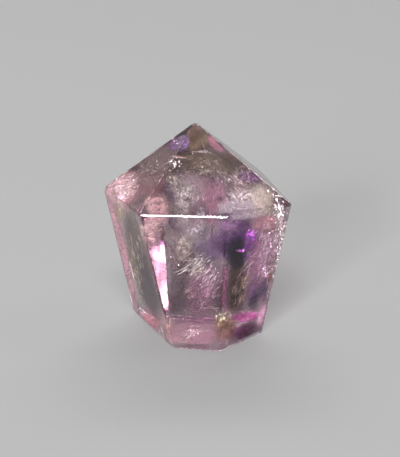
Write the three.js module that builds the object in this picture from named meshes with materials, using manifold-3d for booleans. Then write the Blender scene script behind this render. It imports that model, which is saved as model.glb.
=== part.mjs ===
// A hand-polished amethyst point: one solid six-sided stone. Its side faces lean outward, so that it
// widens from a flat base to the shoulders, where six upper faces close to a single tip.
// Lengths are in millimetres and angles in degrees, with +Z up. The stone stands on its base and its
// widest polished face looks along -Y.

import * as THREE from 'three';
import ManifoldModule from 'manifold-3d';

const TIP_HEIGHT = 59.5; // where the upper faces would meet if the tip were sharp
const TIP_WEAR = 0.6; // height polished off the sharp tip
const EDGE_RADIUS = 0.8; // rounding of every edge after polishing
const ARC_STEPS = 4; // flats across each rounded edge

// The six side faces, anticlockwise from above. bearing is the way a face looks, from the front round
// to the right. lean is how far it overhangs. distance is taken at the base, from the plumb line
// under the tip. corner is shared with the next face: height is where their edge meets the shoulder,
// and top and foot are how much the polishing took off its two ends.
const SIDE_FACES = {
  front: { bearing: -10, lean: 3, distance: 20.3, corner: { height: 40.5, top: 0.2, foot: 0.2 } },
  frontRight: { bearing: 45, lean: 4.5, distance: 20.3, corner: { height: 37.5, top: 0.2, foot: 0.2 } },
  backRight: { bearing: 110, lean: 13, distance: 14.4, corner: { height: 40, top: 0.3, foot: 0.2 } },
  back: { bearing: 168, lean: 4.5, distance: 17.7, corner: { height: 35, top: 0.3, foot: 0.2 } },
  backLeft: { bearing: 226, lean: 5.5, distance: 16.7, corner: { height: 39.5, top: 0.7, foot: 0.2 } },
  frontLeft: { bearing: 296, lean: 11.5, distance: 14.1, corner: { height: 39.5, top: 0.2, foot: 0.5 } },
};

const SURFACE = { color: 0xb58fb4, roughness: 0.05, metalness: 0, transparent: true, opacity: 0.6 };

const INSIDE_TOLERANCE = 1e-6;
const UP = new THREE.Vector3(0, 0, 1);
const DOWN = new THREE.Vector3(0, 0, -1);

// A plane holds the outward normal of a flat face, and the stone lies behind it.
function facetThrough(point, normal) {
  return new THREE.Plane().setFromNormalAndCoplanarPoint(normal, point);
}

function sidePlane({ bearing, lean, distance }) {
  const angle = THREE.MathUtils.degToRad(bearing);
  const outward = new THREE.Vector3(Math.sin(angle), -Math.cos(angle), 0);
  const normal = outward.clone().applyAxisAngle(
    new THREE.Vector3().crossVectors(outward, DOWN).normalize(),
    THREE.MathUtils.degToRad(lean),
  );
  return facetThrough(outward.multiplyScalar(distance), normal);
}

// The point where three planes cross, or null where they have no single point.
function crossing(a, b, c) {
  const across = new THREE.Vector3().crossVectors(b.normal, c.normal);
  const volume = a.normal.dot(across);
  if (Math.abs(volume) < INSIDE_TOLERANCE) {
    return null;
  }
  return across
    .multiplyScalar(-a.constant)
    .addScaledVector(new THREE.Vector3().crossVectors(c.normal, a.normal), -b.constant)
    .addScaledVector(new THREE.Vector3().crossVectors(a.normal, b.normal), -c.constant)
    .divideScalar(volume);
}

function levelPlane(height) {
  return facetThrough(new THREE.Vector3(0, 0, height), UP);
}

// The face that closes the stone from two shoulder corners up to the tip.
function upperPlane(rightCorner, leftCorner, tip) {
  return new THREE.Plane().setFromCoplanarPoints(leftCorner, rightCorner, tip);
}

// A worn corner is a small flat facing away from the stone, a little below the sharp corner.
function wornPlane(corner, faces, depth) {
  const normal = new THREE.Vector3();
  faces.forEach((face) => normal.add(face.normal));
  normal.normalize();
  return facetThrough(corner.clone().addScaledVector(normal, -depth), normal);
}

function stonePlanes() {
  const faces = Object.values(SIDE_FACES);
  const after = (i) => (i + 1) % faces.length;
  const tip = new THREE.Vector3(0, 0, TIP_HEIGHT);
  const base = facetThrough(new THREE.Vector3(), DOWN);
  const sides = faces.map(sidePlane);
  const shoulders = faces.map(({ corner }, i) => (
    crossing(sides[i], sides[after(i)], levelPlane(corner.height))
  ));
  const feet = sides.map((side, i) => crossing(side, sides[after(i)], base));
  const uppers = shoulders.map((corner, i) => upperPlane(corner, shoulders.at(i - 1), tip));
  const worn = faces.flatMap(({ corner }, i) => {
    const next = after(i);
    return [
      wornPlane(shoulders[i], [sides[i], sides[next], uppers[i], uppers[next]], corner.top),
      wornPlane(feet[i], [sides[i], sides[next], base], corner.foot),
    ];
  });
  return [...sides, ...uppers, base, levelPlane(TIP_HEIGHT - TIP_WEAR), ...worn];
}

// Every corner of the solid behind the planes, with the three faces that meet there.
function cornersOf(planes) {
  const corners = [];
  planes.forEach((a, i) => {
    planes.slice(i + 1).forEach((b, j) => {
      planes.slice(i + j + 2).forEach((c) => {
        const point = crossing(a, b, c);
        if (point && planes.every((plane) => plane.distanceToPoint(point) < INSIDE_TOLERANCE)) {
          corners.push({ point, faces: [a, b, c] });
        }
      });
    });
  });
  return corners;
}

// A ball's surface between three face normals, as points one edge radius from a corner.
function ballPatch({ point, faces: [a, b, c] }) {
  const points = [];
  for (let i = 0; i <= ARC_STEPS; i += 1) {
    for (let j = 0; j <= ARC_STEPS - i; j += 1) {
      const direction = new THREE.Vector3()
        .addScaledVector(a.normal, i)
        .addScaledVector(b.normal, j)
        .addScaledVector(c.normal, ARC_STEPS - i - j)
        .normalize();
      points.push(point.clone().addScaledVector(direction, EDGE_RADIUS));
    }
  }
  return points;
}

// The stone with its faces drawn in by the edge radius, then grown back by a ball of that radius:
// every face stays flat and in its place, and every edge and corner comes out round.
function stonePoints() {
  const drawnIn = stonePlanes().map((plane) => (
    new THREE.Plane(plane.normal, plane.constant + EDGE_RADIUS)
  ));
  return cornersOf(drawnIn).flatMap(ballPatch);
}

function toGeometry(solid) {
  const { vertProperties, triVerts, numProp } = solid.getMesh();
  const geometry = new THREE.BufferGeometry();
  const vertices = new THREE.InterleavedBuffer(vertProperties, numProp);
  geometry.setAttribute('position', new THREE.InterleavedBufferAttribute(vertices, 3, 0));
  geometry.setIndex(new THREE.BufferAttribute(triVerts, 1));
  const flat = geometry.toNonIndexed();
  flat.computeVertexNormals();
  return flat;
}

const manifold = await ManifoldModule();
manifold.setup();
const solid = manifold.Manifold.hull(stonePoints().map((point) => point.toArray()));

const stone = new THREE.Mesh(
  toGeometry(solid),
  new THREE.MeshStandardMaterial(SURFACE),
);
stone.name = 'amethyst_point';
stone.geometry.computeBoundingBox();
const middle = stone.geometry.boundingBox.getCenter(new THREE.Vector3());
stone.geometry.translate(-middle.x, -middle.y, -stone.geometry.boundingBox.min.z);

const group = new THREE.Group();
group.name = 'amethyst_point_part';
group.add(stone);

export default group;
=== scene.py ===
import math
from collections import namedtuple

import bpy
import numpy as np
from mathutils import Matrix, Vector


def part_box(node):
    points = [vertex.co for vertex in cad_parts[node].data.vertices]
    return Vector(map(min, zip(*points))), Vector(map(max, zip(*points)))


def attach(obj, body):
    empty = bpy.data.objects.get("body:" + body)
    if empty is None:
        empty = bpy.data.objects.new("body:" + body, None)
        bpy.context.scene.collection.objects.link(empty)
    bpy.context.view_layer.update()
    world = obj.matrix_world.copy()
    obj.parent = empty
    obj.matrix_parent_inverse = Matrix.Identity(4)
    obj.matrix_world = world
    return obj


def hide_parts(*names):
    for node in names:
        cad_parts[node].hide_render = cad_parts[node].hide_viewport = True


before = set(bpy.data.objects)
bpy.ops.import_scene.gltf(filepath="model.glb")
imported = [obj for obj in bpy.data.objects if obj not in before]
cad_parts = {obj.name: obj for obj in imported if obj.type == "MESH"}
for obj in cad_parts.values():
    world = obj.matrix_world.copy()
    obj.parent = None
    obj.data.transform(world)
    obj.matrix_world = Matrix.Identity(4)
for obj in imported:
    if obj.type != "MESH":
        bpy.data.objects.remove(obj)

bl_info = {
    "name": "Amethyst Point",
    "version": (1, 0, 0),
    "blender": (4, 5, 0),
    "location": "View3D > Sidebar > Amethyst",
    "description": "A polished point of pale amethyst, with the colour zones, veils and stains inside it",
    "category": "Add Mesh",
}

NODE = "amethyst_point"
MM = 0.001
CAD_LOW, CAD_HIGH = (np.array(corner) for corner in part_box(NODE))

# The stone's faces, in millimetres and degrees, as the part's own source has them:
# bearing from the front, lean, distance from the plumb line under the tip at the base,
# then the height, top wear and foot wear of the corner it shares with the next face.
TIP_HEIGHT = 59.5
TIP_WEAR = 0.6
SIDE_FACES = {
    "front": (-10, 3, 20.3, 40.5, 0.2, 0.2),
    "front_right": (45, 4.5, 20.3, 37.5, 0.2, 0.2),
    "back_right": (110, 13, 14.4, 40, 0.3, 0.2),
    "back": (168, 4.5, 17.7, 35, 0.3, 0.2),
    "back_left": (226, 5.5, 16.7, 39.5, 0.7, 0.2),
    "front_left": (296, 11.5, 14.1, 39.5, 0.2, 0.5),
}
EDGE_RADIUS = 0.8
QUARTZ_IOR = 1.544

# How finely an edge is drawn, the power that its shares take for its shine, a length in
# millimetres that counts as none, and a direction that is square to no face.
ARC_STEPS = 8
BEVEL = 0.3
NOTHING = 1e-6
ASKEW = (0.3, 0.5, 0.8)

# The photograph's camera, in millimetres and degrees, and its picture in pixels. The camera
# sees what is between its clip distances, in metres.
CAMERA_RANGE = 360
CAMERA_ELEVATION = 20.67
AIM = np.array([0.856, -0.566, 28.72])
PHOTO_SIZE = (400, 457)
PIXELS_PER_MM = 3.548
SENSOR = 36.0
CAMERA_CLIP = (0.01, 20)

# How near the pieces inside the stone may come to its faces, in millimetres, and how often
# they are moved to keep that.
VEIL_MARGIN = 0.5
FLAKE_MARGIN = 0.3
ZONE_MARGIN = 0.7
HOLD_PASSES = 4

# The stage: the floor's half side and how far it lies under the stone, in metres, and the
# even light of the studio; then how many bounces see-through stone with many veils needs.
FLOOR_HALF = 3.0
FLOOR_GAP = 0.00005
STUDIO_LIGHT = 0.45
CLEAR_BOUNCES = 28
VEIL_BOUNCES = 48

# Seeds of the random draws, and the step from one kind of veil or zone to the next.
VEIL_SEED, VEIL_SEED_STEP = 100, 100
ZONE_SEED, ZONE_SEED_STEP = 40, 7
STREAK_SEED, FLAKE_SEED = 600, 700

WHITE, BLACK = (1, 1, 1, 1), (0, 0, 0, 1)


def unit(v):
    """Vectors scaled to length 1."""
    return v / np.linalg.norm(v, axis=-1, keepdims=True)


def toward(bearing, height=0.0):
    """The direction at a bearing from the front and a height above the horizon, in degrees."""
    b, h = math.radians(bearing), math.radians(height)
    return np.array([math.sin(b) * math.cos(h), -math.cos(b) * math.cos(h), math.sin(h)])


# The stone's own surface


def stone_planes(radius):
    """The stone's planes as outward normals and distances, drawn in by the edge radius.

    A side face leans out by its lean angle through its foot, an upper face passes the tip
    and two shoulder corners, and a worn corner is cut square to the sum of its faces' normals.
    """
    bearings, leans, distances, heights, top_wear, foot_wear = zip(*SIDE_FACES.values())
    sides = [
        (toward(bearing, -lean), distance * math.cos(math.radians(lean)))
        for bearing, lean, distance in zip(bearings, leans, distances)
    ]
    pairs = [(i, (i + 1) % len(sides)) for i in range(len(sides))]
    base = (np.array([0.0, 0.0, -1.0]), 0.0)
    above = np.array([0.0, 0.0, 1.0])
    tip = TIP_HEIGHT * above
    shoulders = [meeting(sides[i], sides[j], (above, heights[i])) for i, j in pairs]
    feet = [meeting(sides[i], sides[j], base) for i, j in pairs]
    uppers = []
    for i, right in enumerate(shoulders):
        left = shoulders[i - 1]
        normal = unit(np.cross(right - left, tip - left))
        normal = normal * np.sign(normal[2])
        uppers.append((normal, normal @ tip))
    worn = []
    for i, j in pairs:
        top = (sides[i], sides[j], uppers[i], uppers[j])
        foot = (sides[i], sides[j], base)
        for corner, faces, wear in ((shoulders[i], top, top_wear[i]), (feet[i], foot, foot_wear[i])):
            normal = unit(sum(face[0] for face in faces))
            worn.append((normal, normal @ corner - wear))
    cap = (above, TIP_HEIGHT - TIP_WEAR)
    planes = [*sides, *uppers, base, cap, *worn]
    normals = np.array([p[0] for p in planes])
    return normals, np.array([p[1] for p in planes]) - radius


def meeting(*planes):
    """The point that lies in three planes."""
    normals, reach = (np.array(column) for column in zip(*planes))
    return np.linalg.solve(normals, reach)


def corners_of(normals, reach):
    """Every point where three planes meet and no other plane cuts off, with its three planes."""
    n = len(normals)
    triples = np.array(
        [(i, j, k) for i in range(n) for j in range(i + 1, n) for k in range(j + 1, n)]
    )
    a, b = normals[triples], reach[triples]
    good = np.abs(np.linalg.det(a)) > NOTHING
    triples, a, b = triples[good], a[good], b[good]
    points = np.linalg.solve(a, b[..., None])[..., 0]
    inside = (points @ normals.T <= reach + NOTHING).all(axis=1)
    return points[inside], triples[inside]


def stone_surface(radius, steps):
    """The rounded stone as points, normals, faces and how far each point is into an edge.

    A flat face is its corners moved out by the edge radius. An edge is a strip whose two
    parameters are the place between its ends and the share t of the turn from one face's
    normal to the other's, and a corner is a patch whose parameters are the shares of its
    three normals; both lie one radius out along the unit sum of the shared normals.
    The shown normals take a low power of the shares, so that an edge shines as a narrow
    flat bevel with soft borders, as a lap leaves it.
    """
    normals, reach = stone_planes(radius)
    points, triples = corners_of(normals, reach)
    co, no, faces, bevel = [], [], [], []
    start = 0

    def add(places, directions, polygons, shown=None, into=0.0):
        nonlocal start
        co.append(places + directions * radius)
        no.append(directions if shown is None else shown)
        bevel.append(np.broadcast_to(into, len(places)))
        faces.extend([tuple(int(v) + start for v in p) for p in polygons])
        start += len(places)

    share = np.linspace(0, 1, steps + 1)[:, None]
    for f, normal in enumerate(normals):
        ring = points[(triples == f).any(axis=1)]
        if len(ring) < 3:
            continue
        side = unit(np.cross(normal, ASKEW))
        arm = ring - ring.mean(axis=0)
        turn = np.argsort(np.arctan2(arm @ np.cross(normal, side), arm @ side))
        add(ring[turn], np.repeat(normal[None], len(ring), 0), [range(len(ring))])
    for f in range(len(normals)):
        for g in range(f + 1, len(normals)):
            ends = points[(triples == f).any(axis=1) & (triples == g).any(axis=1)]
            if len(ends) != 2:
                continue
            arc = unit((1 - share) * normals[f] + share * normals[g])
            flat = unit((1 - share) ** BEVEL * normals[f] + share**BEVEL * normals[g])
            places = np.concatenate([np.repeat(e[None], steps + 1, 0) for e in ends])
            i = np.arange(steps)
            quads = np.stack([i, i + 1, i + steps + 2, i + steps + 1], axis=1)
            quads = facing(places, arc, quads, radius)
            into = np.tile(np.sin(math.pi * share[:, 0]), 2)
            both = np.concatenate([arc, arc])
            add(places, both, quads, np.concatenate([flat, flat]), into)
    row, col = np.meshgrid(np.arange(steps + 1), np.arange(steps + 1), indexing="ij")
    keep = row + col <= steps
    number = np.full(keep.shape, -1)
    number[keep] = np.arange(keep.sum())
    weights = np.stack([row[keep], col[keep], steps - row[keep] - col[keep]], axis=1)
    up = (row + col < steps).nonzero()
    down = (row + col < steps - 1).nonzero()
    (a, b), (c, d) = up, down
    first = np.stack([number[a, b], number[a + 1, b], number[a, b + 1]], 1)
    second = np.stack([number[c + 1, d], number[c + 1, d + 1], number[c, d + 1]], 1)
    triangles = np.concatenate([first, second])
    for point, triple in zip(points, triples):
        directions = unit(weights @ normals[triple] / steps)
        flat = unit((weights / steps) ** BEVEL @ normals[triple])
        places = np.repeat(point[None], len(directions), 0)
        turned = -1 if np.linalg.det(normals[triple]) < 0 else 1
        into = np.sqrt(1 - ((weights / steps) ** 2).sum(axis=1)).clip(0, 1)
        add(places, directions, triangles[:, ::turned], flat, into)
    return np.concatenate(co), np.concatenate(no), faces, np.concatenate(bevel)


def welded(co, faces):
    """The first of each group of like points, and the faces over them with no point twice."""
    _, first, back = np.unique(co.round(5), axis=0, return_index=True, return_inverse=True)
    sizes = np.array([len(face) for face in faces])
    ends = np.cumsum(sizes)
    ids = back.ravel()[np.concatenate(faces)]
    before = np.roll(ids, 1)
    before[ends - sizes] = ids[ends - 1]
    keep = ids != before
    kept = np.add.reduceat(keep, ends - sizes)
    rings = np.split(ids[keep], np.cumsum(kept)[:-1])
    return first, [ring.tolist() for ring in rings if len(ring) > 2]


def facing(places, arc, quads, radius):
    """The strip's faces, turned so that they look along the arc's normals."""
    co = places + np.concatenate([arc, arc]) * radius
    a, b, c = co[quads[0][0]], co[quads[0][1]], co[quads[0][2]]
    outward = np.cross(b - a, c - a) @ (arc[0] + arc[1])
    return quads if outward > 0 else quads[:, ::-1]


# The sharp stone's faces by number, and how far its middle is from the frame's origin.
FACE_NORMALS, FACE_REACH = stone_planes(0.0)
FACE_NAMES = [*SIDE_FACES, *("upper_" + name for name in SIDE_FACES), "base"]
DRAWN_IN = corners_of(*stone_planes(EDGE_RADIUS))[0][:, :2]
SHIFT = np.append((DRAWN_IN.min(axis=0) + DRAWN_IN.max(axis=0)) / 2, 0.0)
SHIFT -= np.append((CAD_LOW + CAD_HIGH)[:2] / 2, CAD_LOW[2]) / MM


def to_frame(points):
    """Stone millimetres to the shared frame's metres: the box's middle is over the origin."""
    return (points - SHIFT) * MM


def held_inside(points, margin):
    """Points moved square to any face that they come nearer to than the margin."""
    for _ in range(HOLD_PASSES):
        for normal, reach in zip(FACE_NORMALS, FACE_REACH):
            over = np.maximum(points @ normal - (reach - margin), 0.0)
            points = points - over[..., None] * normal
    return points


def seen_inside(pixels, depth, face):
    """The places that the camera sees through a face at pixels of the photograph.

    Each is the depth behind the face, in millimetres, along the ray from the camera
    to the pixel after Snell's law has bent it at the face.
    """
    ahead = -toward(0, CAMERA_ELEVATION)
    right = np.array([1.0, 0.0, 0.0])
    up = np.cross(right, ahead)
    eye = AIM + SHIFT - ahead * CAMERA_RANGE
    offset = (pixels - np.array(PHOTO_SIZE) / 2) / PIXELS_PER_MM
    ray = unit(ahead * CAMERA_RANGE + offset[..., :1] * right - offset[..., 1:] * up)
    which = FACE_NAMES.index(face)
    normal, reach = FACE_NORMALS[which], FACE_REACH[which]
    facing_in = -(ray @ normal)
    entry = eye + ray * ((eye @ normal - reach) / facing_in)[..., None]
    bend = 1 / QUARTZ_IOR
    steep = np.sqrt(1 - bend**2 * (1 - facing_in**2))
    inner = bend * ray + (bend * facing_in - steep)[..., None] * normal
    return held_inside(entry + inner * np.asarray(depth)[..., None], VEIL_MARGIN)


def placed(name, data):
    """A new object for a mesh, lamp or camera, linked to the scene."""
    made = bpy.data.objects.new(name, data)
    bpy.context.scene.collection.objects.link(made)
    return made


def make_piece(name, co, faces, material, normals=None, smooth=True):
    """A mesh object at the origin, with its place in its mesh, that rides the one body."""
    mesh = bpy.data.meshes.new(name)
    mesh.from_pydata(co.tolist(), [], [list(f) for f in faces])
    mesh.validate()
    mesh.shade_smooth() if smooth else mesh.shade_flat()
    if normals is not None:
        mesh.normals_split_custom_set_from_vertices(normals.tolist())
    mesh.materials.append(material)
    piece = placed(name, mesh)
    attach(piece, "root")
    return piece


# Shapes inside the stone


def store(piece, name, kind, field, values):
    """Keep one value for each of the piece's points as an attribute."""
    layer = piece.data.attributes.new(name, kind, "POINT")
    layer.data.foreach_set(field, np.asarray(values, np.float32).ravel())


class Sheet(
    namedtuple("Sheet", "face middle half turn depth slope bow tint strength ripple", defaults=[0.6])
):
    """One veil: the face it is seen through, its middle and half size in pixels, its turn
    in the picture in degrees, its depth, slopes and bow in millimetres, tint, strength and
    the height of its waves."""

    @property
    def size(self):
        """Its half size in millimetres."""
        return np.array(self.half) / PIXELS_PER_MM

    def points(self, u, v, wave):
        """Across the picture it is a turned rectangle of pixels round its middle; its depth
        is the depth at the middle, plus a slope along u and v, plus a bow that grows with
        the square of the distance from the middle, plus the wave."""
        turn = math.radians(self.turn)
        x = self.half[0] * u * math.cos(turn) - self.half[1] * v * math.sin(turn)
        y = self.half[0] * u * math.sin(turn) + self.half[1] * v * math.cos(turn)
        pixels = np.stack([self.middle[0] + x, self.middle[1] + y], axis=-1)
        depth = self.depth + self.slope[0] * u + self.slope[1] * v
        depth = depth + self.bow * (u**2 + v**2) + self.ripple * wave
        return seen_inside(pixels, depth, self.face)


class LooseSheet(
    namedtuple("LooseSheet", "middle size bearing tilt turn bow tint strength ripple", defaults=[0.8])
):
    """One veil placed by millimetres: its middle, half size, the bearing and tilt that it
    looks to and its turn about that direction in degrees, its bow, tint, strength and the
    height of its waves."""

    def points(self, u, v, wave):
        """A turned rectangle square to its direction, bowed along it with the square of the
        distance from the middle, plus the wave."""
        out = toward(self.bearing, self.tilt)
        side = toward(self.bearing + 90)
        up = np.cross(side, out)
        r = math.radians(self.turn)
        x = self.size[0] * u * math.cos(r) - self.size[1] * v * math.sin(r)
        y = self.size[0] * u * math.sin(r) + self.size[1] * v * math.cos(r)
        lift = self.bow * (u**2 + v**2) + self.ripple * wave
        co = np.array(self.middle) + x[..., None] * side + y[..., None] * up
        return held_inside(co + lift[..., None] * out, VEIL_MARGIN)


def sheet_grid(sheet, seed, steps=18):
    """A veil's points and faces, its places in millimetres across it and its rim share.

    u and v run from -1 to 1 across it, the wave is the mean of three crossing waves, and
    the rim share is the distance from the middle, 1 at the middle of each side.
    """
    u, v = np.meshgrid(np.linspace(-1, 1, steps), np.linspace(-1, 1, steps), indexing="ij")
    rng = np.random.default_rng(seed)
    wave = sum(
        np.sin(rng.uniform(1.5, 5) * u + rng.uniform(1.5, 5) * v + rng.uniform(0, 6.3))
        for _ in range(3)
    )
    co = sheet.points(u, v, wave / 3)
    i, j = np.meshgrid(np.arange(steps - 1), np.arange(steps - 1), indexing="ij")
    a = (i * steps + j).ravel()
    faces = np.stack([a, a + steps, a + steps + 1, a + 1], axis=1)
    start = rng.uniform(0, 400, 2)
    across = np.stack([u * sheet.size[0] + start[0], v * sheet.size[1] + start[1]], axis=-1)
    return co.reshape(-1, 3), faces, across.reshape(-1, 2), np.hypot(u, v).ravel()


def make_kind(name, groups, grid, material, seed, smooth=True):
    """Several veils, bundles or clusters as one piece, each in its own tint, with the
    parts that it was joined from and how many points each has."""
    parts = [grid(group, seed + k) for k, group in enumerate(groups)]
    sizes = [len(part[0]) for part in parts]
    co = np.concatenate([part[0] for part in parts])
    faces = np.concatenate([part[1] + c for part, c in zip(parts, np.cumsum([0] + sizes))])
    piece = make_piece(name, to_frame(co), faces, material, smooth=smooth)
    tint = np.repeat([(*group.tint, 1.0) for group in groups], sizes, axis=0)
    store(piece, "tint", "FLOAT_COLOR", "color", tint)
    return piece, parts, sizes


def make_sheets(name, sheets, material, seed):
    """Several veils of one kind as one piece, with the places across each, its strength and
    its rim share."""
    piece, parts, sizes = make_kind(name, sheets, sheet_grid, material, seed)
    across, rim = (np.concatenate([part[k] for part in parts]) for k in (2, 3))
    loops = np.zeros(len(piece.data.loops), np.int32)
    piece.data.loops.foreach_get("vertex_index", loops)
    layer = piece.data.uv_layers.new(name="across")
    layer.data.foreach_set("uv", across[loops].astype(np.float32).ravel())
    store(piece, "strength", "FLOAT", "value", np.repeat([s.strength for s in sheets], sizes))
    store(piece, "rim", "FLOAT", "value", rim)


class Bundle(namedtuple("Bundle", "face middle half turn fan depths length width number tint")):
    """A bundle of hair-thin streaks: the face they are seen through, their middle and half
    spread in pixels, their direction in the picture and its spread in degrees, their
    shallowest and deepest place, length and width in millimetres, number and tint."""


def streak_grid(bundle, seed, steps=9):
    """Every streak of a bundle, as points and faces.

    At place t, from -1 to 1 along it, a streak is at its middle plus t half lengths along
    its own direction, plus a bow that grows with t squared; its two sides lie half a width
    apart, which narrows about as the root of 1 minus t squared, and its depth leans along t.
    """
    rng = np.random.default_rng(seed)
    n = bundle.number
    spot = np.array(bundle.middle) + rng.normal(0, 0.5, (n, 2)) * bundle.half
    angle = np.radians(bundle.turn + rng.normal(0, bundle.fan, n))
    long = bundle.length * PIXELS_PER_MM / 2 * rng.uniform(0.35, 1.3, n)
    t = np.linspace(-1, 1, steps)[None, :]
    along = np.stack([np.cos(angle), np.sin(angle)], -1)[:, None, None, :]
    across = np.stack([-np.sin(angle), np.cos(angle)], -1)[:, None, None, :]
    bow = (rng.normal(0, 0.045, n) * long)[:, None] * t**2
    thin = np.sqrt(1.03 - t**2) * bundle.width * PIXELS_PER_MM / 2
    thin = thin * rng.uniform(0.5, 1.5, n)[:, None]
    sides = np.array([-1.0, 1.0])
    path = (long[:, None] * t)[:, :, None, None] * along
    path = path + (bow[:, :, None] + thin[:, :, None] * sides)[..., None] * across
    depth = rng.uniform(*bundle.depths, n)[:, None] + rng.normal(0, 0.18, n)[:, None] * t
    depth = depth[:, :, None] + (thin * 0.3)[:, :, None] * sides
    co = seen_inside(spot[:, None, None, :] + path, depth, bundle.face)
    k, i = np.meshgrid(np.arange(n), np.arange(steps - 1), indexing="ij")
    a = ((k * steps + i) * 2).ravel()
    return co.reshape(-1, 3), np.stack([a, a + 1, a + 3, a + 2], axis=1)


class Cluster(namedtuple("Cluster", "face middle half depths size number tint")):
    """A cluster of glinting flakes: the face it is seen through, its middle and half spread
    in pixels, its shallowest and deepest place, the flakes' size in millimetres, their
    number and tint."""

    def middles(self, rng):
        """Places drawn round the middle in the picture, at any depth between the two."""
        spot = np.array(self.middle) + rng.normal(0, 0.5, (self.number, 2)) * self.half
        return seen_inside(spot, rng.uniform(*self.depths, self.number), self.face)


class LooseCluster(namedtuple("LooseCluster", "middle spread size number tint")):
    """A cluster of glinting flakes placed by millimetres: its middle and half spread, and
    the flakes' size, number and tint."""

    def middles(self, rng):
        """Places drawn round the middle."""
        return self.middle + rng.normal(0, 0.5, (self.number, 3)) * self.spread


def flake_grid(cluster, seed):
    """Every flake of a cluster, as points and faces: four corners and a raised middle, at
    random lengths along two directions square to each other that point anywhere."""
    rng = np.random.default_rng(seed)
    n = cluster.number
    middle = cluster.middles(rng)
    long = unit(rng.normal(0, 1, (n, 3)))
    short = unit(np.cross(long, rng.normal(0, 1, (n, 3))))
    size = cluster.size * rng.uniform(0.3, 1.2, (n, 1))
    reach = rng.uniform(0.5, 1.0, (n, 4, 1)) * size[:, None]
    arms = np.stack([long, short * 0.45, -long, -short * 0.45], axis=1) * reach
    bend = np.cross(long, short) * size * rng.normal(0, 0.12, (n, 1))
    co = np.concatenate([middle[:, None] + arms, (middle + bend)[:, None]], axis=1)
    a = 5 * np.arange(n)[:, None]
    faces = np.stack([a + [0, 1, 4], a + [1, 2, 4], a + [2, 3, 4], a + [3, 0, 4]], axis=1)
    return held_inside(co, FLAKE_MARGIN).reshape(-1, 3), faces.reshape(-1, 3)


def blob_grid(middle, radii, lumps, seed, turn=0.0, rows=24, columns=40):
    """A closed lump: a point at polar angle p and azimuth q lies in that direction from the
    middle, at the ellipsoid's radius times one plus a sum of waves over the direction."""
    p = np.linspace(0, math.pi, rows + 1)[1:-1, None]
    q = np.linspace(0, 2 * math.pi, columns, endpoint=False)[None, :]
    ring = np.stack([np.sin(p) * np.cos(q), np.sin(p) * np.sin(q), np.cos(p) + 0 * q], -1)
    d = np.concatenate([[[0, 0, 1.0]], ring.reshape(-1, 3), [[0, 0, -1.0]]])
    rng = np.random.default_rng(seed)
    wave = sum(np.sin(d @ rng.normal(0, 2.4, 3) + rng.uniform(0, 6.3)) / (1 + k / 3) for k in range(7))
    co = d * np.array(radii) * (1 + lumps * wave / 3)[:, None]
    t = math.radians(turn)
    spin = np.array([[math.cos(t), -math.sin(t), 0], [math.sin(t), math.cos(t), 0], [0, 0, 1]])
    co = held_inside(co @ spin.T + np.array(middle), ZONE_MARGIN)
    i, j = np.meshgrid(np.arange(rows - 2), np.arange(columns), indexing="ij")
    a, b = 1 + i * columns + j, 1 + i * columns + (j + 1) % columns
    quads = np.stack([a, a + columns, b + columns, b], -1).reshape(-1, 4)
    k = np.arange(columns)
    top = np.stack([np.zeros_like(k), 1 + k, 1 + (k + 1) % columns], -1)
    low = 1 + (rows - 2) * columns
    end = np.stack([np.full_like(k, len(co) - 1), low + (k + 1) % columns, low + k], -1)
    return co, [*top.tolist(), *quads.tolist(), *end.tolist()]


# Shader maths


class Wire:
    """One socket's value in a shader tree. Its operators add Math or Vector Math nodes."""

    def __init__(self, shader, socket):
        self.shader, self.socket = shader, socket

    def _math(self, operation, *values):
        """The operation on the values. With a vector or colour, a number fills all three."""
        vector = any(
            isinstance(v, Wire) and v.socket.type in ("VECTOR", "RGBA") for v in values
        )
        kind = "ShaderNodeVectorMath" if vector else "ShaderNodeMath"
        if vector:
            values = [(v,) * 3 if isinstance(v, (int, float)) else v for v in values]
        return self.shader.node(kind, {"operation": operation}, dict(enumerate(values)))

    def __add__(self, other):
        return self._math("ADD", self, other)

    def __radd__(self, other):
        return self._math("ADD", other, self)

    def __sub__(self, other):
        return self._math("SUBTRACT", self, other)

    def __rsub__(self, other):
        return self._math("SUBTRACT", other, self)

    def __mul__(self, other):
        return self._math("MULTIPLY", self, other)

    def __rmul__(self, other):
        return self._math("MULTIPLY", other, self)


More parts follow.
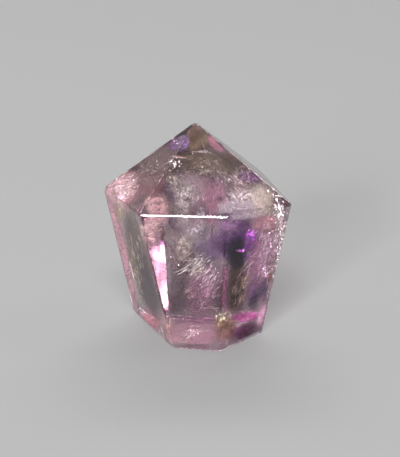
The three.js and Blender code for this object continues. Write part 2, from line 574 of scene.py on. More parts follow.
class Shader:
    """A material's nodes: node() makes any of them, from its type, settings and values."""

    def __init__(self, name):
        self.material = bpy.data.materials.new(name)
        self.material.use_nodes = True
        self.tree = self.material.node_tree
        self.tree.nodes.clear()
        self.output = self.tree.nodes.new("ShaderNodeOutputMaterial")

    def node(self, kind, settings=None, values=None, out=0):
        """A node of a type: its settings first, then its sockets' values or links."""
        made = self.tree.nodes.new(kind)
        for key, value in (settings or {}).items():
            setattr(made, key, value)
        for key, value in (values or {}).items():
            if isinstance(value, Wire):
                self.tree.links.new(value.socket, made.inputs[key])
            else:
                made.inputs[key].default_value = value
        return Wire(self, made.outputs[out])

    def place(self):
        """Object coordinates."""
        return self.node("ShaderNodeTexCoord", out="Object")

    def attribute(self, name, out="Fac"):
        """A value or colour that the piece's points hold."""
        return self.node("ShaderNodeAttribute", {"attribute_name": name}, None, out)

    def noise(self, vector, scale, detail=3.0, roughness=0.5, distortion=0.0, out=0):
        """Noise that changes about scale times in one unit of the vector."""
        values = {"Scale": scale, "Detail": detail, "Roughness": roughness, "Distortion": distortion}
        return self.node("ShaderNodeTexNoise", None, {"Vector": vector, **values}, out)

    def step(self, value, low, high):
        """0 below low, 1 above high, and a smooth climb between them."""
        values = {"Value": value, "From Min": low, "From Max": high}
        return self.node("ShaderNodeMapRange", {"interpolation_type": "SMOOTHSTEP"}, values)

    def mix(self, share, first, second):
        """A colour between two colours."""
        values = {0: share, 6: first, 7: second}
        return self.node("ShaderNodeMix", {"data_type": "RGBA"}, values, 2)

    def principled(self, values):
        """A Principled surface."""
        return self.node("ShaderNodeBsdfPrincipled", None, values)

    def finish(self, surface, volume=None):
        """The material, with its surface and volume linked to its output."""
        self.tree.links.new(surface.socket, self.output.inputs["Surface"])
        if volume is not None:
            self.tree.links.new(volume.socket, self.output.inputs["Volume"])
        return self.material

    def finish_clear(self, body, shade, tint, density):
        """Clear stone: shadow rays pass its surface as they pass a window of one shade, so
        that the lamps light what is inside, and its absorption builds up with depth."""
        window = self.node("ShaderNodeBsdfTransparent", None, {"Color": shade})
        shadow = self.node("ShaderNodeLightPath", out="Is Shadow Ray")
        surface = self.node("ShaderNodeMixShader", None, {0: shadow, 1: body, 2: window})
        values = {"Color": tint, "Density": density}
        return self.finish(surface, self.node("ShaderNodeVolumeAbsorption", None, values))


def rgba(colour):
    """The colour with full alpha."""
    return (*colour, 1.0)


def crystal_material(settings):
    """Polished clear quartz: plain transmission, the quartz IOR and an absorption that is partly the stone's
    pale violet and partly painted shade, a grey darkening.

    Its faces are smooth but for a faint rub, and the edges' middles are a little frosted,
    as wear leaves them.
    """
    s = Shader("polished amethyst")
    where = s.place()
    rub = s.noise(where, 260, 2)
    smear = s.noise(where, 900, 3, 0.6)
    worn = s.step(s.attribute("bevel"), 0.35, 0.95) * (0.6 + 0.4 * s.step(smear, 0.4, 0.6))
    roughness = 0.012 + s.step(rub, 0.45, 0.75) * 0.03 + worn * settings.frost
    bump = s.node("ShaderNodeBump", None, {"Strength": 0.03, "Distance": 0.0002, "Height": smear})
    clear = {"Base Color": WHITE, "IOR": settings.ior, "Transmission Weight": 1.0}
    body = s.principled({**clear, "Roughness": roughness, "Normal": bump})
    return s.finish_clear(body, rgba(settings.shade), rgba(settings.tint), settings.depth)


def zone_material(name, tint, density):
    """A zone of the same clear quartz, of deeper colour or of painted shade: no surface of its own, only
    more absorption.
    """
    s = Shader(name)
    clear = {"Base Color": WHITE, "Roughness": 0.0, "IOR": 1.0, "Transmission Weight": 1.0}
    return s.finish_clear(s.principled(clear), WHITE, rgba(tint), density)


def veil_material(name, pattern, contrast):
    """A healed crack, in the tint and strength of each veil, fading out towards its rim; some veils are
    painted shade and some painted reflections instead.

    Its pattern lies in the veil's own millimetres. cloud: soft patches. wash: nearly all of
    it, a little thinner in soft patches. curd: milky lumps. feather: streaks along the veil.
    mottle: small ragged spots gathered in patches. The contrast is how far fine noise
    darkens the tint.
    """
    s = Shader(name)
    across = s.node("ShaderNodeUVMap", {"uv_map": "across"})
    soft = s.noise(across, 0.2, 7, 0.6, 0.5)
    fine = s.noise(across, 1.1, 5, 0.68, 0.3)
    ragged_rim = s.attribute("rim") + (soft - 0.5) * 1.1 + (fine - 0.5) * 0.5
    inside = 1 - s.step(ragged_rim, 0.5, 1.0)
    if pattern == "cloud":
        shown = s.step(soft * 0.65 + fine * 0.35, 0.37, 0.56)
        shown = shown * (0.55 + 0.45 * s.step(fine, 0.38, 0.6))
    elif pattern == "wash":
        shown = 0.6 + 0.4 * s.step(soft * 0.6 + fine * 0.4, 0.4, 0.58)
    elif pattern == "curd":
        lump = s.noise(across, 0.42, 4, 0.5, 0.6)
        shown = s.step(lump, 0.42, 0.58) * (0.6 + 0.4 * s.step(fine, 0.42, 0.58))
    elif pattern == "feather":
        warp = s.noise(across, 0.35, 3, 0.5, 0, "Color")
        bent = across + (warp - (0.5, 0.5, 0.5)) * (2.2, 2.2, 0.0)
        drawn = s.noise(bent * (0.45, 2.4, 1.0), 1.0, 6, 0.7)
        shown = s.step(drawn, 0.46, 0.6) * (0.35 + 0.65 * s.step(soft, 0.4, 0.58))
    else:
        spots = s.noise(across, 0.75, 6, 0.72, 0.8)
        shown = s.step(spots, 0.5, 0.6) * s.step(soft, 0.42, 0.58)
    product = {0: inside * shown, 1: s.attribute("strength")}
    alpha = s.node("ShaderNodeMath", {"operation": "MULTIPLY", "use_clamp": True}, product)
    shade = s.step(fine, 0.3, 0.68) * contrast + (1 - contrast)
    colour = s.mix(shade, BLACK, s.attribute("tint", "Color"))
    matt = {"Roughness": 0.6, "Specular IOR Level": 0.0}
    return s.finish(s.principled({"Base Color": colour, "Alpha": alpha, **matt}))


def streak_material():
    """Thin fibres in each bundle's tint, lighter and darker along their length."""
    s = Shader("fibre")
    patch = s.noise(s.place(), 700, 3, 0.6)
    shade = 0.35 + 0.65 * s.step(patch, 0.35, 0.6)
    colour = s.mix(shade, BLACK, s.attribute("tint", "Color"))
    return s.finish(s.principled({"Base Color": colour, "Roughness": 0.35}))


def flake_material():
    """Tiny open cracks that partly mirror the lamps, in each cluster's tint; the near-white and magenta
    tints are painted glints.
    """
    s = Shader("glinting crack")
    tint = s.attribute("tint", "Color")
    roughness = 0.15 + 0.25 * s.step(s.noise(s.place(), 1500, 2, 0.6), 0.4, 0.65)
    return s.finish(s.principled({"Base Color": tint, "Metallic": 0.3, "Roughness": roughness}))


# Settings


class StoneSettings(bpy.types.PropertyGroup):
    radius: bpy.props.FloatProperty(
        name="Edge radius",
        description="How round the polished edges are",
        default=EDGE_RADIUS * MM,
        unit="LENGTH",
    )
    frost: bpy.props.FloatProperty(
        name="Edge frost",
        description="How rough wear has left the middle of each edge",
        default=0.3,
    )
    ior: bpy.props.FloatProperty(
        name="IOR", description="Quartz bends light by this much", default=QUARTZ_IOR
    )
    # The tint is partly the stone's pale violet and partly painted shade: a grey darkening that stands for
    # dark surroundings seen through the stone.
    tint: bpy.props.FloatVectorProperty(
        name="Tint",
        description="What the clear stone lets through",
        default=(0.53, 0.32, 0.42),
        subtype="COLOR",
    )
    depth: bpy.props.FloatProperty(
        name="Absorption",
        description="How strongly the tint builds up, per metre",
        default=32.0,
    )
    shade: bpy.props.FloatVectorProperty(
        name="Shade",
        description="What each polished face lets through of the lamps' light",
        default=(0.8, 0.8, 0.8),
        subtype="COLOR",
    )


class StageSettings(bpy.types.PropertyGroup):
    floor: bpy.props.FloatVectorProperty(
        name="Floor", description="The floor's colour", default=(0.12, 0.12, 0.12), subtype="COLOR"
    )


class AMETHYST_OT_stone(bpy.types.Operator):
    """Cut and polish the stone itself, over its solid in the frame"""

    bl_idname = "amethyst.stone"
    bl_label = "Stone"

    def execute(self, context):
        settings = context.scene.amethyst_stone
        co, normals, faces, bevel = stone_surface(settings.radius / MM, ARC_STEPS)
        first, rings = welded(co, faces)
        places = np.clip(to_frame(co[first]), CAD_LOW, CAD_HIGH)
        material = crystal_material(settings)
        piece = make_piece("polished_stone", places, rings, material, normals[first])
        store(piece, "bevel", "FLOAT", "value", bevel[first])
        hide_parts(NODE)
        return {"FINISHED"}


# Zones of deeper colour, and two of painted shade: the face and pixel they are seen through, depth,
# radii, turn, lumpiness, tint and absorption per metre at the middle, and the shells that soften them.
# The shells shrink in even steps, down to one step and LAST_SHELL of another.
LAST_SHELL = 0.6
ZONES = {
    "violet_core": ("front_right", (237, 249), 3.6, (2.2, 2.0, 4.3), 40, 0.25, (0.22, 0.02, 0.36), 2600, 4),
    "violet_cloud": ("front_right", (243, 240), 8.0, (7.0, 5.0, 6.5), 30, 0.4, (0.42, 0.1, 0.56), 260, 4),
    "lilac_middle": ("front", (212, 275), 22.0, (6.5, 5.0, 10.0), 0, 0.3, (0.5, 0.3, 0.5), 60, 2),
    "smoky_top": ("upper_front", (200, 156), 9.0, (9.0, 6.0, 4.5), 0, 0.3, (0.5, 0.42, 0.40), 140, 3),
    # Painted shade: darkens the tip, where the shaded floor under the stone is seen through the base.
    "painted_shade_tip": ("upper_front", (193, 138), 3.0, (2.2, 2.4, 3.4), 0, 0.2, (0.5, 0.44, 0.3), 260, 2),
    "smoky_shoulder": ("upper_front_left", (152, 164), 6, (5, 4, 3.4), 20, 0.3, (0.5, 0.42, 0.42), 140, 3),
    # Painted shade: a dark plum patch where the floor under the foot is seen through the base.
    "painted_shade_foot": ("front_right", (247, 331), 3.5, (3.8, 3.0, 2.4), 30, 0.2, (0.42, 0.06, 0.34), 700, 3),
    "smoky_foot": ("front_right", (238, 288), 6.0, (4.0, 3.2, 7.5), 30, 0.35, (0.5, 0.32, 0.34), 320, 3),
    "pink_right": ("front_right", (262, 262), 6.0, (5.5, 4.0, 12.0), 30, 0.2, (0.62, 0.2, 0.46), 120, 3),
    "pink_foot": ("front", (198, 332), 8.0, (13.0, 5.0, 3.4), 0, 0.2, (0.66, 0.3, 0.46), 110, 2),
}


class AMETHYST_OT_colour_zone(bpy.types.Operator):
    """Grow the violet and smoky zones and the two zones of painted shade, shell by shell"""

    bl_idname = "amethyst.colour_zone"
    bl_label = "Colour zones"

    def execute(self, context):
        for which, (name, zone) in enumerate(ZONES.items()):
            face, pixel, depth, radii, turn, lumps, tint, density, shells = zone
            middle = seen_inside(np.array([pixel], float), np.array([depth]), face)[0]
            material = zone_material(name, tint, density / shells)
            for k in range(shells):
                size = np.array(radii) * (1 - k / (shells + LAST_SHELL))
                seed = ZONE_SEED + ZONE_SEED_STEP * which + k
                co, faces = blob_grid(middle, size, lumps, seed, turn)
                make_piece(f"{name}_{k + 1}", to_frame(co), faces, material)
        return {"FINISHED"}


# Veils by kind. A veil's first half size lies along its turn, clockwise from the right.
WASHES = [
    Sheet("front_right", (258, 262), (20, 54), 12, 4.5, (3, 3), 1.0, (0.36, 0.12, 0.25), 0.65),
    Sheet("front_right", (254, 296), (9, 20), 12, 3.5, (1, 2), 0.5, (0.09, 0.03, 0.10), 0.8),
    Sheet("front_right", (264, 288), (5, 14), 12, 2.2, (1, 2), 0.3, (0.07, 0.025, 0.10), 0.85),
    Sheet("front_right", (237, 290), (12, 34), 4, 5, (2, 3), 0.8, (0.058, 0.022, 0.030), 1.0),
    Sheet("front_right", (236, 280), (11, 30), 12, 3, (1, 2), 0.5, (0.070, 0.036, 0.028), 0.9),
    Sheet("front_right", (237, 247), (13, 19), 8, 1.9, (0.3, 0.4), 0.2, (0.030, 0.004, 0.050), 1.0, 0.3),
    Sheet("front_right", (236, 251), (12, 16), -20, 1.5, (0.3, 0.3), 0.2, (0.008, 0.001, 0.014), 1.0, 0.2),
    Sheet("front_right", (237, 258), (10, 16), 15, 1.7, (0.3, 0.3), 0.2, (0.006, 0.001, 0.008), 1.0, 0.2),
    Sheet("front_right", (242, 233), (17, 14), 20, 5, (1, 1), 0.5, (0.17, 0.055, 0.21), 0.9),
    Sheet("front_right", (236, 226), (18, 10), 0, 4, (1, 1), 0.5, (0.24, 0.12, 0.24), 0.85),
    Sheet("front", (216, 247), (14, 16), 10, 9, (2, 2), 0.5, (0.09, 0.05, 0.11), 0.5),
    Sheet("front", (203, 247), (9, 6), 0, 7, (1, 1), 0.5, (0.10, 0.075, 0.14), 0.35),
    Sheet("front", (206, 290), (22, 34), 4, 9, (2, 3), 1.0, (0.15, 0.075, 0.11), 0.62),
    Sheet("front", (180, 290), (13, 38), 6, 12, (2, 3), 1.0, (0.085, 0.08, 0.075), 0.55),
    Sheet("upper_front", (196, 192), (26, 27), 0, 10, (2, 4), 1.0, (0.16, 0.095, 0.115), 0.65),
    Sheet("upper_front", (212, 200), (12, 22), 0, 6, (1, 3), 0.5, (0.14, 0.066, 0.092), 0.75),
    Sheet("upper_front", (206, 163), (38, 15), -4, 6, (3, 2), 1.0, (0.045, 0.030, 0.024), 1.0),
    Sheet("upper_front", (212, 161), (34, 14), 0, 3, (1, 1), 0.4, (0.050, 0.034, 0.028), 0.9, 0.4),
    # Painted shade: a dark olive wash at the tip, where the shaded floor under the stone is seen through the
    # base.
    Sheet("upper_front", (197, 139), (12, 15), 0, 3, (1, 2), 0.3, (0.075, 0.05, 0.035), 0.85),
    Sheet("upper_front", (216, 139), (13, 13), 30, 3, (1, 2), 0.3, (0.21, 0.09, 0.125), 0.65),
    Sheet("upper_front_left", (154, 164), (28, 20), -40, 5, (2, 2), 0.5, (0.050, 0.030, 0.028), 1.0),
    Sheet("upper_front_left", (148, 184), (22, 12), -52, 2.5, (1, 1), 0.3, (0.07, 0.030, 0.036), 0.95, 0.3),
    Sheet("upper_front_left", (160, 160), (22, 14), -36, 2.5, (1, 1), 0.3, (0.05, 0.032, 0.034), 0.9, 0.3),
    # Painted reflection: pink wash in the pink-white patch at the upper left.
    Sheet("upper_front_left", (124, 189), (26, 19), -36, 4.5, (1, 2), 0.5, (0.28, 0.15, 0.17), 0.75),
    # Painted reflection: the pink triangle by the front-left shoulder.
    Sheet("upper_front", (157, 205), (15, 15), -30, 5, (1, 2), 0.3, (0.21, 0.125, 0.13), 0.9),
    Sheet("upper_front_right", (254, 196), (30, 17), 26, 7, (2, 2), 0.5, (0.27, 0.19, 0.17), 0.6),
    Sheet("upper_front_right", (240, 207), (25, 10), -2, 2.2, (1, 1), 0.4, (0.38, 0.31, 0.345), 0.5, 0.4),
    Sheet("upper_front_right", (262, 199), (14, 15), 20, 2.0, (1, 1), 0.4, (0.42, 0.34, 0.29), 0.45, 0.4),
    Sheet("upper_front_right", (238, 168), (32, 15), 40, 4, (2, 2), 0.5, (0.050, 0.028, 0.030), 1.0),
    # Painted shade: these four darken the front-left face and tone down its pink strip, for dark
    # surroundings seen through that face.
    Sheet("front_left", (143, 270), (13, 66), -14, 1.4, (0.2, 0.4), 0.1, (0.065, 0.028, 0.032), 1.0, 0.3),
    Sheet("front_left", (137, 256), (12, 60), -14, 1.9, (0.2, 0.4), 0.1, (0.050, 0.034, 0.022), 0.8, 0.3),
    Sheet("front_left", (122, 256), (10, 68), -14, 1.0, (0.3, 0.3), 0.1, (0.27, 0.13, 0.165), 0.95, 0.4),
    Sheet("front_left", (113, 228), (9, 48), -12, 0.8, (0.2, 0.2), 0.1, (0.32, 0.155, 0.20), 0.95, 0.3),
    Sheet("front", (224, 290), (3, 34), 0, 0.8, (0.2, 0.2), 0.1, (0.09, 0.02, 0.055), 0.8, 0.2),
    Sheet("front", (196, 335), (38, 16), 0, 4, (2, 2), 0.5, (0.28, 0.15, 0.19), 0.6),
    Sheet("front", (166, 334), (17, 17), 30, 3, (2, 2), 0.5, (0.26, 0.14, 0.14), 0.7),
    Sheet("front", (196, 320), (32, 6), 2, 3, (1, 1), 0.3, (0.16, 0.06, 0.11), 0.7),
    Sheet("front_right", (246, 317), (20, 7), -6, 1.8, (0.6, 0.6), 0.3, (0.38, 0.06, 0.23), 1.0),
    Sheet("front_right", (262, 316), (6, 17), 13, 0.9, (0.2, 0.2), 0.1, (0.50, 0.26, 0.38), 0.8, 0.2),
    # Painted shade: a dark plum patch where the floor under the foot is seen through the base.
    Sheet("front_right", (247, 333), (22, 13), -20, 1.8, (1, 1), 0.3, (0.060, 0.004, 0.038), 1.0),
    Sheet("front_right", (266, 224), (17, 13), 0, 2.5, (1, 1), 0.3, (0.39, 0.18, 0.21), 0.8),
    Sheet("front", (151, 232), (12, 18), 0, 5, (1, 2), 0.3, (0.50, 0.33, 0.32), 0.3),
    Sheet("front_left", (150, 322), (13, 17), -40, 1.2, (0.3, 0.3), 0.1, (0.25, 0.075, 0.105), 0.9, 0.2),
    # Painted shade: a dark band along the right side of the front-left face.
    Sheet("front_left", (147, 284), (8, 46), -16, 0.9, (0.2, 0.3), 0.1, (0.018, 0.003, 0.012), 1.0, 0.2),
    Sheet("front_right", (228, 330), (12, 14), 10, 2, (1, 1), 0.3, (0.24, 0.10, 0.07), 0.8),
]
CURDS = [
    Sheet("front", (196, 229), (12, 14), 0, 9, (1, -1), 0.8, (0.19, 0.17, 0.19), 1.0),
    Sheet("front", (204, 234), (12, 9), 20, 12, (1, -1), 0.8, (0.198, 0.167, 0.203), 0.9),
    Sheet("upper_front", (187, 200), (10, 19), 8, 7, (1, 2), 0.8, (0.207, 0.189, 0.189), 0.9),
    Sheet("upper_front", (176, 186), (10, 10), 30, 6, (1, 2), 0.8, (0.14, 0.12, 0.115), 0.8),
    Sheet("upper_front_right", (247, 202), (20, 12), 5, 4.5, (1, 2), 0.8, (0.25, 0.21, 0.23), 0.55),
    Sheet("upper_front_right", (262, 194), (13, 15), 20, 3.5, (1, 2), 0.8, (0.22, 0.19, 0.165), 1.0),
    Sheet("upper_front_right", (246, 187), (14, 7), 10, 5, (1, 1), 0.5, (0.207, 0.149, 0.153), 0.9),
    Sheet("front", (184, 250), (9, 16), 12, 7, (1, 2), 0.6, (0.25, 0.21, 0.18), 1.0),
    Sheet("front_right", (232, 218), (14, 7), -6, 5, (1, 1), 0.5, (0.180, 0.140, 0.171), 0.8),
]
CLOUDS = [
    Sheet("front", (207, 232), (13, 9), 10, 16, (-2, 2), 1.0, (0.298, 0.248, 0.298), 0.6),
    Sheet("front_right", (236, 215), (22, 9), -8, 3.5, (-2, 2), 0.8, (0.36, 0.29, 0.35), 0.85),
    Sheet("upper_front_right", (246, 201), (25, 14), 10, 3, (2, 2), 0.8, (0.39, 0.32, 0.335), 1.0),
    Sheet("upper_front_right", (261, 196), (16, 14), 25, 6, (2, 2), 1.0, (0.33, 0.28, 0.25), 0.8),
    Sheet("upper_front_right", (270, 206), (12, 6), 0, 6, (2, 2), 1.0, (0.34, 0.30, 0.28), 0.6),
    Sheet("upper_front", (185, 197), (14, 20), 10, 9, (2, 4), 1.0, (0.322, 0.304, 0.291), 0.8),
    Sheet("upper_front", (212, 174), (19, 6), -8, 8, (2, 3), 1.0, (0.285, 0.229, 0.223), 0.8),
    Sheet("upper_front_left", (168, 178), (10, 9), 25, 6, (2, 2), 0.5, (0.20, 0.165, 0.15), 0.8),
    Sheet("front", (184, 249), (10, 18), 12, 6, (1, 3), 1.0, (0.34, 0.29, 0.26), 0.9),
    Sheet("front", (200, 247), (10, 7), 0, 10, (1, 1), 0.5, (0.10, 0.075, 0.14), 0.6),
    Sheet("front", (209, 289), (14, 11), -30, 5, (1, 1), 0.5, (0.25, 0.12, 0.18), 0.7),
    Sheet("front", (190, 294), (7, 6), 20, 4, (1, 1), 0.4, (0.32, 0.19, 0.21), 0.8),
    Sheet("front", (198, 271), (12, 5), -32, 3, (1, 1), 0.4, (0.40, 0.35, 0.30), 0.9),
    Sheet("front", (211, 254), (12, 9), 20, 9, (1, 1), 0.5, (0.136, 0.087, 0.186), 0.7),
    Sheet("front_right", (244, 223), (15, 9), 0, 4, (1, 1), 0.5, (0.186, 0.074, 0.211), 0.8),
    Sheet("front_right", (251, 236), (7, 8), 25, 1.0, (0.2, 0.2), 0.1, (0.36, 0.06, 0.46), 1.0, 0.2),
    Sheet("front_right", (248, 250), (6, 14), 10, 1.2, (0.2, 0.2), 0.1, (0.15, 0.03, 0.20), 0.9, 0.2),
    Sheet("front_right", (234, 246), (8, 13), 10, 3.2, (0.6, 1), 0.4, (0.031, 0.006, 0.056), 1.0),
    Sheet("front_right", (236, 258), (8, 9), 0, 2.6, (0.6, 1), 0.4, (0.019, 0.004, 0.031), 1.0),
    Sheet("front_right", (250, 242), (8, 11), 25, 3.0, (0.6, 1), 0.4, (0.211, 0.05, 0.273), 0.8),
    Sheet("front_right", (236, 286), (9, 28), 6, 5, (2, 3), 0.8, (0.062, 0.037, 0.028), 0.9),
    Sheet("front_right", (253, 298), (6, 12), 12, 2.5, (0.6, 1), 0.3, (0.074, 0.031, 0.099), 0.9),
    Sheet("front_right", (262, 288), (4, 9), 12, 2.0, (0.4, 1), 0.2, (0.062, 0.025, 0.093), 0.9),
    Sheet("front", (176, 292), (9, 30), 6, 12, (2, 4), 1.0, (0.105, 0.099, 0.093), 0.6),
    Sheet("front_right", (226, 324), (10, 9), 10, 3, (1, 2), 0.3, (0.273, 0.198, 0.105), 0.9),
    Sheet("front_right", (230, 326), (7, 8), 30, 2, (1, 1), 0.3, (0.31, 0.105, 0.081), 0.85),
    Sheet("front_right", (270.5, 280), (3.2, 8), 12, 1.6, (0.3, 1), 0.2, (0.136, 0.037, 0.025), 1.0),
    Sheet("upper_front_left", (181, 142), (6, 10), 40, 2.5, (0.5, 1), 0.2, (0.161, 0.093, 0.223), 1.0),
    Sheet("upper_front_left", (173, 146), (6, 6), 0, 2.5, (0.5, 1), 0.2, (0.074, 0.031, 0.087), 1.0),
    Sheet("upper_front_right", (249, 177), (17, 8), 10, 1.8, (0.6, 0.6), 0.3, (0.075, 0.025, 0.075), 1.0),
    Sheet("upper_front_right", (229, 196), (9, 6), 0, 5, (1, 1), 0.3, (0.124, 0.068, 0.093), 0.9),
    Sheet("front_left", (119, 213), (5, 13), -10, 0.8, (0.2, 0.3), 0.1, (0.22, 0.17, 0.10), 0.8),
    # Painted shade: dark grey-brown over the front-left face.
    Sheet("front_left", (132, 224), (6, 20), -14, 1.6, (0.2, 0.3), 0.1, (0.093, 0.087, 0.062), 0.9),
]
FEATHERS = [
    Sheet("front_right", (240, 290), (25, 9), 112, 4, (3, 2), 0.6, (0.248, 0.167, 0.124), 1.0),
    Sheet("front", (212, 282), (24, 14), 118, 8, (3, 2), 0.8, (0.24, 0.17, 0.21), 0.6),
    Sheet("front", (196, 262), (16, 8), -32, 7, (2, 2), 0.5, (0.384, 0.36, 0.322), 0.9),
    Sheet("front", (186, 246), (16, 9), 118, 7.5, (2, 2), 0.5, (0.31, 0.273, 0.223), 0.8),
    Sheet("upper_front", (192, 190), (20, 14), 75, 8, (3, 3), 1.0, (0.372, 0.335, 0.341), 0.7),
    Sheet("upper_front", (213, 166), (28, 8), -10, 1.8, (0.6, 0.6), 0.3, (0.20, 0.16, 0.14), 0.6),
    Sheet("upper_front_right", (240, 178), (22, 9), 35, 5, (2, 2), 0.6, (0.384, 0.285, 0.273), 0.8),
    Sheet("upper_front_right", (258, 198), (18, 10), 60, 5, (2, 2), 0.6, (0.459, 0.409, 0.372), 0.7),
    # Partly painted reflection: pale feathers in the pink-white patch at the upper left.
    Sheet("upper_front_left", (124, 187), (20, 13), -40, 3, (1, 2), 0.5, (0.34, 0.25, 0.25), 0.9),
    Sheet("upper_front_left", (152, 172), (26, 16), -50, 1.5, (0.5, 0.5), 0.3, (0.15, 0.105, 0.10), 0.6),
    Sheet("front_left", (136, 268), (38, 8), 76, 1.1, (0.3, 0.2), 0.1, (0.30, 0.23, 0.13), 0.9, 0.3),
    Sheet("front_right", (262, 262), (40, 9), 102, 3.5, (3, 1), 0.6, (0.434, 0.298, 0.372), 0.8),
    Sheet("front_right", (279, 242), (44, 8), 101, 1.2, (0.5, 0.5), 0.2, (0.44, 0.31, 0.34), 0.7),
    Sheet("front", (196, 322), (28, 6), 4, 4, (2, 1), 0.4, (0.26, 0.112, 0.174), 0.8),
    Sheet("front", (190, 338), (26, 8), -8, 4, (2, 1), 0.4, (0.347, 0.26, 0.248), 0.6),
    Sheet("front", (152, 232), (12, 14), 20, 4, (1, 2), 0.4, (0.521, 0.372, 0.347), 0.8),
    Sheet("front_right", (228, 322), (16, 11), 100, 2.5, (1, 1), 0.3, (0.322, 0.223, 0.112), 0.9),
]
MOTTLE = [
    Sheet("front_right", (279, 246), (11, 64), 13, 2.4, (0.5, 0.5), 0.3, (0.075, 0.030, 0.050), 0.9, 0.3),
    Sheet("front", (196, 272), (30, 44), 0, 13, (6, 8), 1.0, (0.056, 0.043, 0.05), 0.6),
    Sheet("front_right", (256, 262), (26, 54), 8, 6, (4, 5), 1.0, (0.099, 0.05, 0.081), 0.7),
    Sheet("front_right", (258, 264), (24, 52), 8, 3.5, (2, 3), 1.0, (0.384, 0.26, 0.335), 0.7),
    # Painted shade: dark spots over the front-left face.
    Sheet("front_left", (136, 262), (14, 60), -14, 1.7, (0.3, 0.5), 0.1, (0.062, 0.037, 0.037), 0.7),
    Sheet("upper_front", (204, 166), (34, 20), 0, 8, (4, 4), 1.0, (0.056, 0.043, 0.034), 0.8),
    Sheet("upper_front", (198, 190), (34, 24), 0, 12, (-4, -3), 1.0, (0.335, 0.26, 0.279), 0.7),
    Sheet("upper_front_right", (250, 186), (32, 22), 35, 4, (3, 3), 1.0, (0.384, 0.31, 0.31), 0.7),
    Sheet("upper_front_right", (244, 176), (32, 16), 35, 8, (-3, 3), 1.0, (0.062, 0.037, 0.043), 0.8),
    Sheet("upper_front_left", (152, 168), (30, 16), -38, 5, (3, 3), 1.0, (0.056, 0.037, 0.037), 0.8),
    Sheet("front", (206, 290), (20, 30), 10, 5, (2, 4), 1.0, (0.22, 0.14, 0.18), 0.5),
]
STREAKS = [
    # Painted glints: bright magenta streaks in the violet core, this one and the next.
    Bundle("front_right", (242, 250.5), (3.5, 0.8), -8, 16, (0.6, 1.0), 1.8, 0.26, 9, (0.80, 0.20, 0.90)),
    Bundle("front_right", (252.5, 234), (1.8, 2.2), -40, 22, (0.6, 0.9), 1.3, 0.34, 9, (0.90, 0.36, 0.95)),
    Bundle("front_right", (240, 290), (7, 22), 118, 24, (2, 7), 2.4, 0.055, 60, (0.22, 0.15, 0.11)),
    Bundle("front_right", (238, 284), (8, 24), 112, 25, (2, 7), 2.5, 0.07, 65, (0.06, 0.03, 0.02)),
    Bundle("front_right", (246, 268), (6, 12), 125, 10, (2, 4), 4.0, 0.07, 18, (0.43, 0.29, 0.38)),
    Bundle("front", (210, 284), (9, 18), 128, 16, (3, 9), 2.3, 0.06, 78, (0.38, 0.29, 0.32)),
    Bundle("front", (190, 271), (14, 4), 152, 7, (1.5, 4), 4.8, 0.07, 10, (0.50, 0.47, 0.45)),
    Bundle("front", (206, 276), (12, 10), 132, 10, (1.5, 5), 3.0, 0.065, 20, (0.46, 0.37, 0.42)),
    Bundle("front", (194, 262), (12, 6), 145, 18, (4, 8), 2.4, 0.07, 33, (0.50, 0.48, 0.46)),
    Bundle("front", (188, 252), (10, 10), 140, 14, (4, 8), 2.7, 0.07, 20, (0.10, 0.09, 0.09)),
    # Painted highlight: one bright streak along the front-left face, for an edge's highlight seen through
    # it.
    Bundle("front_left", (131.5, 270), (0.2, 0.3), 75.5, 0.5, (0.6, 0.7), 13, 0.1, 1, (0.8, 0.74, 0.74)),
    # Partly painted reflection: pale streaks in the pink-white patch at the upper left.
    Bundle("upper_front_left", (125, 186), (18, 14), 140, 26, (1.0, 4), 1.5, 0.07, 150, (0.44, 0.33, 0.32)),
    Bundle("upper_front_left", (152, 170), (22, 16), 130, 50, (0.7, 2.2), 1.3, 0.06, 80, (0.22, 0.15, 0.15)),
    # Painted highlight: pale streaks along the back shoulder edge as seen through the upper front face.
    Bundle("upper_front", (205, 152), (18, 2), 4, 6, (1.5, 3), 3.2, 0.07, 9, (0.56, 0.52, 0.53)),
    Bundle("upper_front", (181, 157), (8, 2), 14, 6, (1.5, 3), 2.9, 0.06, 6, (0.46, 0.31, 0.27)),
    Bundle("upper_front", (212, 165), (28, 10), 165, 30, (0.8, 2.6), 1.6, 0.06, 44, (0.27, 0.21, 0.19)),
    Bundle("upper_front_right", (242, 178), (18, 12), 30, 40, (0.8, 3), 1.4, 0.06, 91, (0.45, 0.33, 0.33)),
    Bundle("front_left", (138, 266), (7, 36), 78, 12, (0.6, 1.2), 2.4, 0.06, 80, (0.42, 0.33, 0.24)),
    Bundle("front_left", (119, 212), (4, 10), 96, 14, (0.6, 1.5), 1.9, 0.09, 33, (0.38, 0.31, 0.15)),
    Bundle("front_right", (266, 262), (10, 40), 112, 30, (1.5, 5), 1.7, 0.06, 143, (0.50, 0.38, 0.45)),
    Bundle("front_right", (281, 240), (6, 34), 102, 30, (0.8, 2), 1.3, 0.07, 70, (0.50, 0.38, 0.42)),
    Bundle("front", (211, 308), (8, 1.5), -4, 5, (2, 4), 2.4, 0.10, 7, (0.38, 0.29, 0.27)),
    Bundle("front", (192, 332), (12, 5), 155, 14, (2, 5), 1.9, 0.06, 31, (0.50, 0.41, 0.41)),
    Bundle("front", (205, 321), (22, 4), 4, 8, (2, 5), 3.0, 0.06, 31, (0.21, 0.06, 0.14)),
    Bundle("front_right", (226, 318), (7, 6), 100, 22, (1.5, 3), 1.6, 0.08, 28, (0.42, 0.36, 0.24)),
    Bundle("front", (152, 236), (6, 12), 150, 30, (2, 5), 1.3, 0.07, 31, (0.56, 0.38, 0.33)),
]
